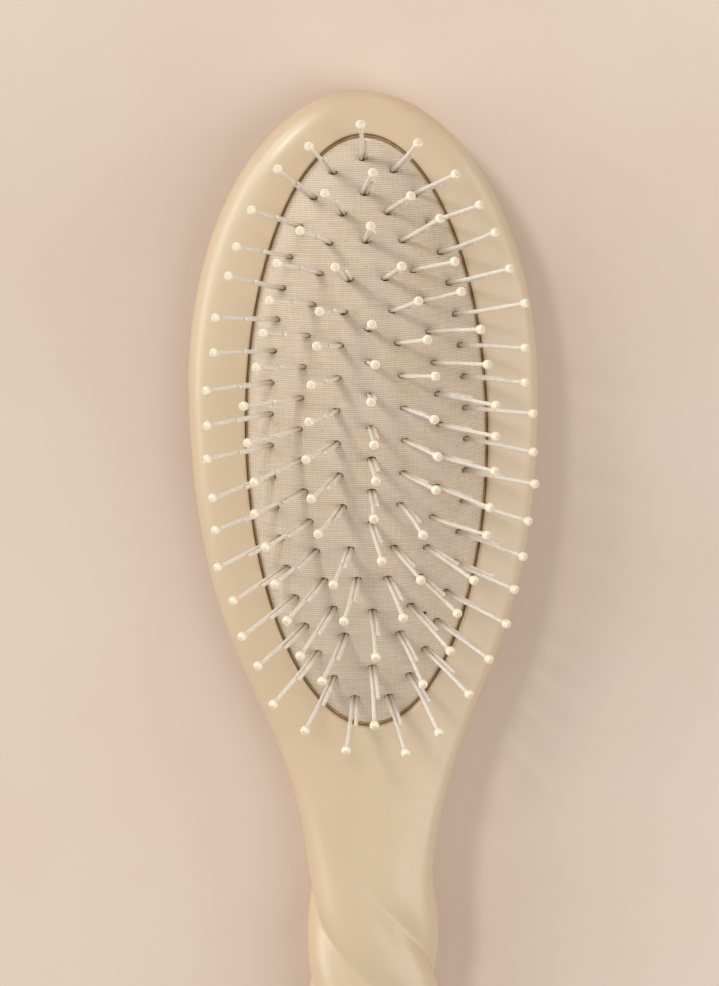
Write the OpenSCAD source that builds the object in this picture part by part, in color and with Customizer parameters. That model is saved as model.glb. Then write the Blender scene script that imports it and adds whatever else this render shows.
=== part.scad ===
// Oval pneumatic cushion detangling brush.
// The brush lies on its back: pins up along +Z, head towards +Y, handle towards -Y.
// The origin is in the middle of the surface that the brush rests on. Millimetres.

/* [Body] */
// Length of the whole brush
overall_l = 236; // [220:1:250]
// Width of the oval head
head_w = 69.8; // [66:0.2:76]
// Distance of the head's widest place above the cushion's middle
widest_rise = 7.8; // [2:0.1:12]
// Width of the rim between the cushion and the head's top end
rim_top_w = 8.2; // [7.2:0.1:11]
// Distance from the cushion's lower end to the narrowest place of the neck
neck_below_cushion = 36; // [31:0.5:42]
// Width of the neck where it is narrowest
neck_w = 26.4; // [23:0.2:30]
// Width of the handle at its fullest
handle_w = 27.8; // [25:0.2:32]
// Thickness of the handle
handle_t = 21.6; // [19:0.2:25]
// Height of the rim's flat crest above the surface below
head_t = 16; // [15:0.2:19]
// Height of the head's widest line above the surface below
waist_h = 8; // [7:0.1:9]
// Depth that is cut off the rounded back, so that it rests without rocking
back_flat_depth = 0.5; // [0.2:0.1:0.8]
// Length, from the cushion's lower end, in which the head's section turns into the handle's
handle_blend_l = 46; // [38:1:54]
// Length of the rounded end of the handle
handle_end_l = 13; // [10:0.5:18]

/* [Handle twist] */
// Number of strands that the handle is twisted from
strand_n = 4; // [3:1:5]
// Length of handle in which a strand goes once round
twist_lead = 70; // [60:1:90]
// Depth of the valley between two strands
valley_depth = 1.6; // [0.8:0.1:2.4]
// Distance above the neck's narrowest place where the strands start to turn
twist_lead_in = 3.5; // [0:0.5:8]
// Length over which the turning comes in
twist_ease_l = 5; // [3:0.5:8]
// Distance above the neck's narrowest place where the valleys begin
valley_lead_in = 24.5; // [17:0.5:30]
// Length over which a valley reaches its full depth
valley_ease_l = 32; // [20:1:45]

/* [Cushion] */
// Width of the cushion where it meets the rim
cushion_w = 47.4; // [44:0.2:50]
// Length of the cushion where it meets the rim
cushion_l = 118.6; // [110:0.2:122]
// Height of the cushion's crown above its edge
crown_h = 9.5; // [8:0.1:11]
// Thickness of the rubber membrane
rubber_t = 1.3; // [1:0.1:1.8]
// Thickness of the woven facing
fabric_t = 0.5; // [0.3:0.05:0.8]
// Depth of the cushion's edge below the rim's crest
edge_drop = 1.4; // [1.2:0.1:2]
// Visible gap between the cushion and the rim
rim_gap = 0.5; // [0.3:0.05:0.8]
// Height of the membrane's edge below the cushion's edge line
skirt_h = 3.4; // [3:0.1:4]
// Thickness of the membrane's edge
skirt_t = 1.6; // [1.2:0.1:2]
// Reach of the locking lip beyond the membrane's edge
lip_w = 1.3; // [1:0.1:2]
// Height of the locking lip
lip_h = 1.4; // [1:0.1:1.8]
// Clearance round the locking lip in its groove
lip_clearance = 0.1; // [0.05:0.05:0.2]
// Width of the ledge in the body that carries the membrane's edge
ledge_w = 2.6; // [2.2:0.1:3.4]
// Thickness of the body below the air chamber
back_t = 5.5; // [4:0.1:6]
// Diameter of the cushion's vent hole
vent_d = 0.9; // [0.6:0.1:1.4]

/* [Pins] */
// Pins on each side of the outer ring, which has one more at its top
outer_side_n = 19; // [14:1:20]
// Pins on each side of the second ring, which has one more at each end
second_side_n = 15; // [11:1:16]
// Pins on each side of the third ring's upper stretch; the ring has one more at each end
third_upper_n = 8; // [6:1:9]
// Pins on each side of the third ring's lower point
third_lower_n = 2; // [2:1:3]
// Pins in the centre row
centre_n = 7; // [5:1:8]
// Length of a pin from the cushion's surface to the middle of its ball
pin_l = 18; // [15:0.5:20]
// Length of a pin's short leg above the cushion's surface
short_l = 10.2; // [7:0.2:12]
// Diameter of the nylon filament
filament_d = 0.8; // [0.6:0.05:0.9]
// Diameter of the ball tip
ball_d = 1.9; // [1.7:0.1:2.4]
// Depth of the filament's end past the middle of its ball
ball_bore_depth = 0.3; // [0.1:0.1:0.5]
// Diameter of a pin's hole in the cushion
hole_d = 2.1; // [2.05:0.05:2.5]
// Angle that each leg of a pin leans away from the other
leg_splay = 1.2; // [0.5:0.1:1.4]
// Depth below the cushion's surface from which the pins fan out sideways
fan_across = 22; // [20:0.5:28]
// Depth below the cushion's surface from which the pins fan out lengthwise
fan_along = 125; // [110:1:150]
// Thickness of the steel anchor that the filament is folded round
anchor_t = 0.28; // [0.2:0.02:0.3]
// Length of the anchor
anchor_l = 3; // [2.8:0.1:3.4]
// Height of the anchor
anchor_h = 1.2; // [0.8:0.1:1.4]
// Running gap between the anchor and what it sits against
anchor_gap = 0.02; // [0.01:0.01:0.05]
// Slack between the top of the anchor and the underside of the membrane
anchor_slack = 0.6; // [0.5:0.05:0.8]

/* [Pin rings] */
// Distance of the outer ring of pins inside the cushion's edge, at the side
outer_inset_w = 4; // [3.6:0.1:4.6]
// Distance of the outer ring of pins inside the cushion's edge, at the ends
outer_inset_l = 4.3; // [4:0.1:6]
// Distance of the second ring of pins inside the cushion's edge, at the side
second_inset_w = 9.5; // [9:0.1:10.4]
// Distance of the second ring of pins inside the cushion's edge, at the ends
second_inset_l = 11.6; // [10.6:0.1:13.5]
// Distance of the third ring of pins inside the cushion's edge, at the side
third_inset_w = 16.7; // [15.8:0.1:17.4]
// Distance of the third ring of pins inside the cushion's edge, at the ends
third_inset_l = 22.2; // [20.6:0.1:24]
// Distance of the centre row's ends inside the cushion's edge
centre_inset_l = 39.9; // [38:0.1:43]
// Distance of the outer ring's middle above the cushion's middle
outer_rise = 0.3; // [-0.5:0.1:0.7]
// Distance of the second ring's middle above the cushion's middle
second_rise = 1; // [0:0.1:1.4]
// Distance of the third ring's middle above the cushion's middle
third_rise = 2.5; // [0:0.1:2.8]
// Distance of the centre row's middle above the cushion's middle
centre_rise = 3.2; // [0:0.1:4.4]

/* [Hidden] */

// Colours of the photographed brush
body_colour = [0.90, 0.82, 0.70];
rubber_colour = [0.45, 0.38, 0.27];
fabric_colour = [0.84, 0.77, 0.70];
nylon_colour = [0.93, 0.90, 0.86];
ball_colour = [0.97, 0.92, 0.84];
steel_colour = [0.72, 0.72, 0.72];

// One overrun serves every cut that has to pass through a face
overrun = 1;

// Fineness of curves and of the body's lofted skin
$fn = 64;
fine_fn = 16;
dome_fn = 144;
section_points = 56;
tip_steps = 12;
shoulder_steps = 18;
handle_steps = 30;

// Shape of a section: 2 is an ellipse, and higher is squarer
crest_power = 4;
back_power = 2.5;
handle_power = 2.1;
head_end_power = 6;
handle_end_power = 2.3;
strand_power = 1.3;
// Roundness of the valleys' bottoms, as a share of a strand's half width
valley_round_share = 0.14;
// Pull of the shoulder curve's two handles, as shares of the shoulder's length
shoulder_top_share = 0.591;
shoulder_neck_share = 0.391;
// Where the strands lie before they turn, in degrees from the right-hand side
strand_phase = 117;
// Share of the handle's length at which it is fullest
fullest_share = 0.5;
// Share of the handle's fullness that is left where its rounded end begins
end_fullness_share = 0.93;
// Shape of the upper and the lower half of a ring: 2 is an ellipse, and lower is more pointed
outer_powers = [2.05, 1.85];
inner_powers = [1.75, 1.6];
// First and last pin of each stretch of a ring's side, as shares of that side from top to bottom
outer_shares = [0.055, 0.97];
second_shares = [0.06, 0.91];
third_upper_shares = [0.11, 0.7];
third_lower_shares = [0.815, 0.9];
// The vent hole lies halfway between these pins, one of the outer and one of the second ring
vent_outer_i = 16;
vent_second_i = 14;
// Turn of a pin about itself that lays its fold across the brush
fold_turn = -90;
// Steps in which the length of a ring's side is measured
ring_steps = 180;

// Heights
rim_z = head_t - edge_drop;
lip_bottom_z = rim_z - skirt_h;
chamber_floor_z = back_t;
handle_mid_z = handle_t / 2 - back_flat_depth / 3;
crown_z = rim_z + crown_h;

// Places along the brush
head_top_y = overall_l / 2;
cushion_y = head_top_y - rim_top_w - cushion_l / 2;
cushion_low_y = cushion_y - cushion_l / 2;
widest_y = cushion_y + widest_rise;
neck_y = cushion_low_y - neck_below_cushion;
handle_end_y = -overall_l / 2;
handle_l = neck_y - handle_end_y;
head_tip_l = head_top_y - widest_y;
shoulder_l = widest_y - neck_y;
twist_y = neck_y + twist_lead_in;
valley_y = neck_y + valley_lead_in;

// The cushion's dome is part of an ellipsoid that meets the rim plane in the cushion's oval
half_w = cushion_w / 2;
half_l = cushion_l / 2;
dome_r = (half_w * half_w + crown_h * crown_h) / (2 * crown_h);
dome_stretch = half_l / half_w;
dome_centre_z = crown_z - dome_r;

// The facing's trimmed edge
fabric_edge_z = rim_z - fabric_t;
fabric_hem_w = fabric_t / 4;

// The folded filament
fold_r = (filament_d + anchor_t) / 2 + anchor_gap;
membrane_t = rubber_t + fabric_t;
fold_depth = membrane_t + anchor_slack + anchor_h - (fold_r - filament_d / 2) + anchor_gap;
// Length of a leg below the cushion's surface
root_l = fold_depth + fold_r * sin(leg_splay);

// Values that run smoothly from 0 to 1, and from a to b
function ease(t) = let (u = max(0, min(1, t))) u * u * (3 - 2 * u);
function mix(a, b, t) = a + (b - a) * t;
function bezier(a, b, c, d, t) =
    pow(1 - t, 3) * a + 3 * pow(1 - t, 2) * t * b + 3 * (1 - t) * t * t * c + pow(t, 3) * d;
function signed_pow(x, p) = sign(x) * pow(abs(x), p);
function super(t, p) = pow(max(0, 1 - pow(abs(t), p)), 1 / p);

// Outline of the body: [y, half width, share of the full thickness] from the top end down
function tip_station(i) =
    let (a = 90 * (1 - i / tip_steps))
    [widest_y + head_tip_l * sin(a), head_w / 2 * cos(a), super(sin(a), head_end_power)];
function shoulder_station(i) =
    let (t = i / shoulder_steps)
    [
        bezier(
            widest_y, widest_y - shoulder_top_share * shoulder_l,
            neck_y + shoulder_neck_share * shoulder_l, neck_y, t
        ),
        bezier(head_w / 2, head_w / 2, neck_w / 2, neck_w / 2, t),
        1
    ];
function handle_fullness(s) =
    s < fullest_share
        ? sin(90 * s / fullest_share)
        : mix(1, end_fullness_share, ease((s - fullest_share) / (1 - fullest_share)));
function handle_half_w(y) =
    let (s = (neck_y - y) / handle_l)
    mix(neck_w / 2, handle_w / 2, handle_fullness(s));
function handle_station(i) =
    let (
        straight_l = handle_l - handle_end_l,
        y = neck_y - straight_l * i / handle_steps
    )
    [y, handle_half_w(y), 1];
function end_station(i) =
    let (
        a = 90 * i / tip_steps,
        start_y = handle_end_y + handle_end_l,
        close = pow(cos(a), 2 / handle_end_power),
        y = start_y - handle_end_l * pow(sin(a), 2 / handle_end_power)
    )
    [y, handle_half_w(y) * close, close];
stations = concat(
    [for (i = [1:tip_steps]) tip_station(i)],
    [for (i = [1:shoulder_steps]) shoulder_station(i)],
    [for (i = [1:handle_steps]) handle_station(i)],
    [for (i = [1:tip_steps - 1]) end_station(i)]
);

// How far the strands have turned at y, in degrees, and how deep the valleys are there
function turn(y) =
    360 / twist_lead * twist_ease_l * ln(1 + exp((twist_y - y) / twist_ease_l));
function valley(y) =
    valley_depth
    * ease((valley_y - y) / valley_ease_l)
    * ease((y - handle_end_y) / handle_end_l);
// Depth share across the strands: 1 in a valley, rounded at its bottom, and 0 on a strand's crest
function strand_rise(s) = sqrt(s * s + valley_round_share * valley_round_share);
function strand_dip(a) =
    pow(
        (strand_rise(1) - strand_rise(sin(a * strand_n / 2))) / (strand_rise(1) - strand_rise(0)),
        strand_power
    );

// One section of the body, as points round it
function section(station) =
    let (
        y = station[0],
        w = station[1],
        close = station[2],
        to_handle = ease((cushion_low_y - rim_gap - y) / handle_blend_l),
        mid_z = mix(waist_h, handle_mid_z, to_handle),
        up = mix(head_t - waist_h, handle_t / 2, to_handle) * close,
        down = mix(waist_h + back_flat_depth, handle_t / 2, to_handle) * close,
        top_power = mix(crest_power, handle_power, to_handle),
        low_power = mix(back_power, handle_power, to_handle),
        turned = turn(y),
        depth = valley(y)
    )
    [
        for (i = [0:section_points - 1])
            let (
                a = strand_phase + 360 * i / section_points - turned,
                p = sin(a) > 0 ? top_power : low_power,
                s = pow(pow(abs(cos(a)), p) + pow(abs(sin(a)), p), -1 / p),
                dip = 1 - depth * strand_dip(360 * i / section_points) / max(w, depth * 2)
            )
            [w * s * cos(a) * dip, y, mid_z + (sin(a) > 0 ? up : down) * s * sin(a) * dip]
    ];

// The body's skin: sections joined by triangles, closed by a point at each end
module body_skin() {
    n = section_points;
    last = len(stations) - 1;
    rings = [for (station = stations) each section(station)];
    top_point = [0, head_top_y, waist_h];
    end_point = [0, handle_end_y, handle_mid_z];
    points = concat(rings, [top_point, end_point]);
    faces = concat(
        [
            for (k = [0:last - 1], i = [0:n - 1])
                let (a = k * n + i, b = k * n + (i + 1) % n)
                each [[a, b, b + n], [a, b + n, a + n]]
        ],
        [for (i = [0:n - 1]) [len(rings), (i + 1) % n, i]],
        [for (i = [0:n - 1]) [len(rings) + 1, last * n + i, last * n + (i + 1) % n]]
    );
    polyhedron(points, faces, convexity = 6);
}

// An upright oval column, at the cushion's place
module oval(rx, ry, z0, z1) {
    translate([0, cushion_y, z0]) scale([rx, ry, 1]) cylinder(r = 1, h = z1 - z0, $fn = dome_fn);
}

// The dome's ellipsoid, drawn in by a depth that is even all over. Its poles lie lengthwise, so
// that no pole and no seam comes near a pin's hole
module dome(inset) {
    translate([0, cushion_y, dome_centre_z])
        scale([dome_r - inset, dome_r * dome_stretch - inset, dome_r - inset])
            rotate([90, 0, 0])
                sphere(r = 1, $fn = dome_fn);
}

// A ring of pins: its top pin, the right-hand side downwards, its low pin if it has one, and the
// left-hand side. A place is [x, y] from the cushion's middle
function ring_curve(a, size, powers) =
    let (p = a <= 90 ? powers[0] : powers[1])
    [size[0] * signed_pow(sin(a), 2 / p), size[1] * signed_pow(cos(a), 2 / p)];
function ring_step(i, size, powers) =
    ring_curve((i + 1) * 180 / ring_steps, size, powers) - ring_curve(i * 180 / ring_steps, size, powers);
function side_lengths(size, powers) = [
    for (
        i = 0, s = 0;
        i <= ring_steps;
        s = s + norm(ring_step(i, size, powers)),
        i = i + 1
    ) [s, i * 180 / ring_steps]
];
function side_places(stretches, size, powers) =
    let (lengths = side_lengths(size, powers), side_l = lengths[ring_steps][0])
    [
        for (stretch = stretches, i = [0:stretch[0] - 1])
            let (share = mix(stretch[1][0], stretch[1][1], i / (stretch[0] - 1)))
            ring_curve(lookup(share * side_l, lengths), size, powers)
    ];
function ring_places(stretches, size, powers, rise, has_low_pin) =
    let (
        side = side_places(stretches, size, powers),
        low = has_low_pin ? [[0, -size[1]]] : [],
        all_round = concat([[0, size[1]]], side, low, [for (p = side) [-p[0], p[1]]])
    )
    [for (p = all_round) p + [0, rise]];

// Pins on the middle line belong to the left-hand group
middle_band = filament_d / 2;
function left_of(places) = [for (p = places) if (p[0] < middle_band) p];
function right_of(places) = [for (p = places) if (p[0] >= middle_band) p];

outer_places = ring_places(
    [[outer_side_n, outer_shares]],
    [half_w - outer_inset_w, half_l - outer_inset_l],
    outer_powers, outer_rise, false
);
second_places = ring_places(
    [[second_side_n, second_shares]],
    [half_w - second_inset_w, half_l - second_inset_l],
    inner_powers, second_rise, true
);
third_places = ring_places(
    [[third_upper_n, third_upper_shares], [third_lower_n, third_lower_shares]],
    [half_w - third_inset_w, half_l - third_inset_l],
    inner_powers, third_rise, true
);
centre_places = [
    for (i = [0:centre_n - 1])
        [0, centre_rise + (half_l - centre_inset_l) * (1 - 2 * i / (centre_n - 1))]
];
all_places = concat(outer_places, second_places, third_places, centre_places);
vent_place = (outer_places[vent_outer_i] + second_places[vent_second_i]) / 2;

// Height of the cushion's surface at a place
function surface_z(p) =
    dome_centre_z
    + dome_r * sqrt(1 - pow(p[0] / dome_r, 2) - pow(p[1] / (dome_r * dome_stretch), 2));

// Puts children at each place, with +Z along the pin and +Y to the right, across the brush
module at_pins(places) {
    for (p = places) {
        across = p[0] / fan_across;
        along = p[1] / fan_along;
        lean = atan(norm([across, along]));
        bearing = lean == 0 ? 0 : atan2(along, across);
        translate([p[0], cushion_y + p[1], surface_z(p)])
            rotate([0, lean, bearing])
                rotate([0, 0, fold_turn - bearing])
                    children();
    }
}

// One leg of a pin, up from the fold, on the right (side 1) or the left (side -1)
module leg(side, above) {
    translate([0, side * fold_r * cos(leg_splay), -root_l])
        rotate([-side * leg_splay, 0, 0])
            cylinder(d = filament_d, h = root_l + above, $fn = fine_fn);
}

// A nylon filament folded round its anchor: the long leg on the left, the short one and the fold
module filament() {
    union() {
        leg(-1, pin_l + ball_bore_depth);
        leg(1, short_l);
        translate([0, 0, -fold_depth])
            rotate([90, 0, 90])
                rotate_extrude(angle = 180 - 2 * leg_splay, start = 180 + leg_splay)
                    translate([fold_r, 0]) circle(d = filament_d, $fn = fine_fn);
    }
}

// A ball of resin on the end of the long leg, with the filament's blind bore
module ball() {
    translate([0, -fold_r * cos(leg_splay), -root_l])
        rotate([leg_splay, 0, 0])
            translate([0, 0, root_l + pin_l])
                difference() {
                    sphere(d = ball_d, $fn = fine_fn * 2);
                    translate([0, 0, -ball_d])
                        cylinder(d = filament_d, h = ball_d + ball_bore_depth, $fn = fine_fn);
                }
}

// The flat steel anchor inside the fold
module anchor() {
    translate([-anchor_l / 2, -anchor_t / 2, -membrane_t - anchor_slack - anchor_h])
        cube([anchor_l, anchor_t, anchor_h]);
}

// The body is one moulding: head, neck and twisted handle, with the cushion's recess
module brush_body() {
    color(body_colour)
        difference() {
            body_skin();
            translate([-head_w, -overall_l, -head_t])
                cube([head_w * 2, overall_l * 2, head_t]);
            oval(half_w + rim_gap, half_l + rim_gap, lip_bottom_z, crown_z);
            oval(
                half_w + lip_w + lip_clearance, half_l + lip_w + lip_clearance,
                lip_bottom_z, lip_bottom_z + lip_h + lip_clearance
            );
            oval(half_w - ledge_w, half_l - ledge_w, chamber_floor_z, lip_bottom_z + overrun);
        }
}

// Holes for the pins, and the vent hole
module cushion_holes() {
    at_pins(all_places)
        translate([0, 0, -membrane_t - overrun * 2])
            cylinder(d = hole_d, h = membrane_t + overrun * 4, $fn = fine_fn * 2);
    translate([vent_place[0], cushion_y + vent_place[1], rim_z])
        cylinder(d = vent_d, h = crown_h, $fn = fine_fn);
}

// The rubber membrane: dome, edge and locking lip in the body's groove
module cushion_membrane() {
    color(rubber_colour)
        difference() {
            union() {
                intersection() {
                    dome(fabric_t);
                    oval(half_w, half_l, lip_bottom_z, crown_z + overrun);
                }
                oval(half_w + lip_w, half_l + lip_w, lip_bottom_z, lip_bottom_z + lip_h);
            }
            intersection() {
                dome(membrane_t);
                oval(
                    half_w - skirt_t, half_l - skirt_t,
                    lip_bottom_z - overrun, crown_z + overrun
                );
            }
            cushion_holes();
        }
}

// The woven facing that is bonded to the dome
module cushion_fabric() {
    color(fabric_colour)
        difference() {
            intersection() {
                dome(0);
                oval(half_w, half_l, fabric_edge_z - overrun, crown_z + overrun);
            }
            intersection() {
                dome(fabric_t);
                oval(
                    half_w - fabric_hem_w, half_l - fabric_hem_w,
                    fabric_edge_z - overrun * 2, crown_z + overrun
                );
            }
            oval(
                half_w + overrun, half_l + overrun,
                fabric_edge_z - overrun * 2, fabric_edge_z
            );
            cushion_holes();
        }
}

module filaments(places) {
    color(nylon_colour) at_pins(places) filament();
}

module balls(places) {
    color(ball_colour) at_pins(places) ball();
}

module anchors(places) {
    color(steel_colour) at_pins(places) anchor();
}

brush_body();
cushion_membrane();
cushion_fabric();
filaments(centre_places);  // centre_filaments
balls(centre_places);  // centre_balls
anchors(centre_places);  // centre_anchors
filaments(left_of(third_places));  // third_left_filaments
balls(left_of(third_places));  // third_left_balls
anchors(left_of(third_places));  // third_left_anchors
filaments(right_of(third_places));  // third_right_filaments
balls(right_of(third_places));  // third_right_balls
anchors(right_of(third_places));  // third_right_anchors
filaments(left_of(second_places));  // second_left_filaments
balls(left_of(second_places));  // second_left_balls
anchors(left_of(second_places));  // second_left_anchors
filaments(right_of(second_places));  // second_right_filaments
balls(right_of(second_places));  // second_right_balls
anchors(right_of(second_places));  // second_right_anchors
filaments(left_of(outer_places));  // outer_left_filaments
balls(left_of(outer_places));  // outer_left_balls
anchors(left_of(outer_places));  // outer_left_anchors
filaments(right_of(outer_places));  // outer_right_filaments
balls(right_of(outer_places));  // outer_right_balls
anchors(right_of(outer_places));  // outer_right_anchors
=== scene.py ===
"""Looks of the cushion hairbrush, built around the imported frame.

Metres, in the part's own frame: the brush lies on its back, pins up along +Z, head towards +Y.
"""

import math
import random

import bmesh
import bpy
import numpy as np
from mathutils import Matrix, Vector
from mathutils.geometry import delaunay_2d_cdt


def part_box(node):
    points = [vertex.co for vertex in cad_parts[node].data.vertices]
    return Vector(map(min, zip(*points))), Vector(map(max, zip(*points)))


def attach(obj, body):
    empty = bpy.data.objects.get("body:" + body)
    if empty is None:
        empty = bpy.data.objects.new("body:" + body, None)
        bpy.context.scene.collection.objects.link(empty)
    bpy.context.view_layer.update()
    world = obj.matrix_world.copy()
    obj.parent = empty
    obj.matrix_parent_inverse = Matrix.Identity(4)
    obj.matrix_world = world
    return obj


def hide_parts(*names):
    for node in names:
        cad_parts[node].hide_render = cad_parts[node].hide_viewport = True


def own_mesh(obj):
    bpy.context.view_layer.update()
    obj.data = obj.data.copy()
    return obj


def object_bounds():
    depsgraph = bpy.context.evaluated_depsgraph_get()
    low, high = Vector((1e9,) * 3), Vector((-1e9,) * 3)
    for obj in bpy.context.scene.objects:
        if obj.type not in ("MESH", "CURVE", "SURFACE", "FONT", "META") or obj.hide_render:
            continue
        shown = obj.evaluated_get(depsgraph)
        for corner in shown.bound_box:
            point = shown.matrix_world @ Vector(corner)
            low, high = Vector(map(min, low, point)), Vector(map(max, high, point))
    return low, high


MM = 0.001

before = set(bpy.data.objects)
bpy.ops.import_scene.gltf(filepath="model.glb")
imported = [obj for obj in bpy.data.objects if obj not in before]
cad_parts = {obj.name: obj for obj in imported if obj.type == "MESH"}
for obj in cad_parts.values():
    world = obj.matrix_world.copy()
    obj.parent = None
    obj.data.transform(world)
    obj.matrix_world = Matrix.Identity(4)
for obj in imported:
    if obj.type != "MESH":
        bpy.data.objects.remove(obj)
cad_low, cad_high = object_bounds()

# Photograph and camera
PHOTO_W, PHOTO_H = 719, 986
SENSOR_MM = 36
CAMERA_TARGET = Vector((-1.67, 38.75, 14.6)) * MM
CAMERA_DISTANCE = 708 * MM
CAMERA_PIXELS_PER_MM = 5.02
CAMERA_PITCH = math.radians(11.67)
CAMERA_YAW = math.radians(4.8)
CAMERA_ROLL = math.radians(0.95)
CLIP_START, CLIP_END = 0.05, 20

# Stage
LIGHT_AIM = Vector((0, 0.04, 0.01))
LIGHT_DISTANCE = 5
# Each lamp's direction, its size for each metre of distance, its level and its colour
LAMPS = {
    "key": ((-0.49, 0.5, 0.71), (0.15, 0.15), 0.28, (1.0, 0.985, 0.96)),
    "low_left": ((-0.86, 0.36, 0.36), (1.4, 0.5), 0.74, (0.98, 0.99, 1.0)),
    "overhead": ((0.52, -0.2, 0.83), (0.55, 0.75), 0.24, (1.0, 0.985, 0.96)),
    "low_right": ((0.88, -0.1, 0.42), (1.2, 0.4), 0.32, (1.0, 0.98, 0.97)),
}
WORLD_COLOUR = (1.0, 0.97, 0.935, 1)
WORLD_LEVEL = 0.34
WALL_LEVEL = 0.8
FLOOR_HALF = 8

# Body
HEAD_W = 69.8 * MM
WIDEST_RISE = 7.8 * MM
NECK_BELOW_CUSHION = 36 * MM
NECK_W = 26.4 * MM
HANDLE_W = 27.8 * MM
HANDLE_T = 21.6 * MM
HEAD_T = 16 * MM
WAIST_H = 8 * MM
BACK_FLAT_DEPTH = 0.5 * MM
HANDLE_BLEND_L = 46 * MM
HANDLE_END_L = 13 * MM
STRAND_N = 4
TWIST_LEAD = 70 * MM
VALLEY_DEPTH = 1.6 * MM
TWIST_LEAD_IN = 3.5 * MM
TWIST_EASE_L = 5 * MM
VALLEY_LEAD_IN = 24.5 * MM
VALLEY_EASE_L = 32 * MM
CREST_POWER = 4
BACK_POWER = 2.5
HANDLE_POWER = 2.1
HEAD_END_POWER = 6
HANDLE_END_POWER = 2.3
STRAND_POWER = 1.3
VALLEY_ROUND_SHARE = 0.14
SHOULDER_TOP_SHARE = 0.591
SHOULDER_NECK_SHARE = 0.391
STRAND_PHASE = math.radians(117)
END_FULLNESS_SHARE = 0.93
RECESS_EDGE_R = 0.6 * MM
SECTION_POINTS = 224
TIP_STEPS, SHOULDER_STEPS, HANDLE_STEPS = 36, 84, 150
# How much the stations crowd towards the head's end
TIP_CROWDING = 1.3
RECESS_EDGE_DEGREES = range(0, 80, 13)
RECESS_FLARE_SHARE = 1.2
RECESS_FLARE_A = math.radians(12)
OVAL_POINTS = 240
# Points nearer than this are one point
SAME_PLACE = 0.001 * MM
CUT_SAME_PLACE = 0.005 * MM
CUT_SLIVER = 0.002 * MM
BODY_SHARP_A = math.radians(40)

# Cushion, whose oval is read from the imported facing
facing_low, facing_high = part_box("cushion_fabric")
HALF_W = (facing_high.x - facing_low.x) / 2
HALF_L = (facing_high.y - facing_low.y) / 2
CUSHION_Y = (facing_high.y + facing_low.y) / 2
EDGE_DROP = 1.4 * MM
RIM_Z = HEAD_T - EDGE_DROP
CROWN_H = 9.5 * MM
FABRIC_T = 0.5 * MM
RUBBER_T = 1.3 * MM
RIM_GAP = 0.5 * MM
SKIRT_H = 3.4 * MM
SKIRT_T = 1.6 * MM
LIP_W = 1.3 * MM
LIP_H = 1.4 * MM
LIP_CLEARANCE = 0.1 * MM
LEDGE_W = 2.6 * MM
BACK_T = 5.5 * MM
VENT_D = 0.9 * MM
WEAVE_PITCH = 0.43 * MM
# A pin's hole in the facing hugs its two legs: half its width, half its length, and how far it
# gapes on the side away from the pin's lean
HOLE_HALF_W = 0.92 * MM
HOLE_HALF_L = 0.53 * MM
HOLE_GAPE = 0.13 * MM
EDGE_POINTS = 360
# The points round an opening, and those of the wider rings outside it
OPENING_POINTS = 24
OPENING_BANDS = ((1.16, 24), (1.4, 20), (1.8, 18))
# Shares of the oval beyond which no ring's or grid's points are put
BAND_LIMIT, GRID_LIMIT = 0.985, 0.975
GRID_JITTER = 0.1
GRID_ROW_SHARE = 0.9
GRID_CLEARANCE = 1.3
CLOTH_GRID, CLOTH_SEED = 1.0 * MM, 3
RUBBER_GRID, RUBBER_SEED = 1.6 * MM, 5
RUBBER_HOLE_SHARES = (0.96, 0.92)
# The cloth and the rubber each leave a hair's breadth between them
CLOTH_SHARE, RUBBER_SHARE, RUBBER_INSET_SHARE = 0.98, 0.98, 1.02
DIMPLE_REACH = 0.55 * MM
DIMPLE_DEPTH = 0.16 * MM
SHELL_SHARP_A = math.radians(50)
TINY = 1e-6
LAYOUT_TOLERANCE = 1e-9
# How far the cloth's edge is drawn in, so that the rubber shows round it
CLOTH_IN_W = 0.02 * MM
CLOTH_IN_L = 0.3 * MM
# The rubber bead that fills most of the gap to the rim
BEAD_CLEARANCE = 0.12 * MM
BEAD_DROP = 0.08 * MM
BEAD_RISE = 0.02 * MM
BEAD_IN = 0.05 * MM
SKIRT_DROP = 0.1 * MM
SKIRT_BEVEL = 0.2 * MM
SKIRT_BEVEL_A = math.radians(40)

# Pins
FILAMENT_D = 0.8 * MM
BALL_D = 1.9 * MM
SHORT_L = 10.2 * MM
FOLD_R = 0.41 * MM
LEG_STEPS = 32
# The usual angle, in degrees, by which a short leg leans away
SHORT_SPLAY = 1.1
# The short leg's cut end is a little darker than its sides
END_SHADE = 0.3
FOLD_DEPTH = 3.2 * MM
CUT_EDGE = 0.06 * MM
# How far up from the cloth the milky nylon is darkened with painted shade, which stands in for the
# dark hole seen through the translucent legs
ROOT_SHADE_L = 4.4 * MM
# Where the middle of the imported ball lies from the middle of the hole: along the pin, and to the
# left across it
BALL_ALONG = 17.995 * MM
BALL_LEFT = 1.0095 * MM
# The most that a fold is turned from its place square across the brush
FOLD_TURN = 0.22
AXIS_STEPS = 6
PIN_SEED = 11
# How far a leg may bend, and how the lean and the bend grow along it
BEND = 0.8
LEAN_POWER = 1.8
BEND_TURN = 1.9
SHORT_SHARES = (0.9, 1.06)
LEG_SIDES = 14
FOLD_DEGREES = range(20, 180, 20)
# The part of a pin's line that crosses the cushion's surface, and the halvings that find the place
CROSSING_L = 8 * MM
CROSSING_STEPS = 40
BALL_SIDES = 28
BALL_LOW_A, BALL_HIGH_A = math.radians(-56), math.radians(58)
BALL_STEPS = 14
# The collar below a ball: its width in filament radii and its height in ball radii
COLLAR = ((1.02, -1.3), (1.2, -1.1))
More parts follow.
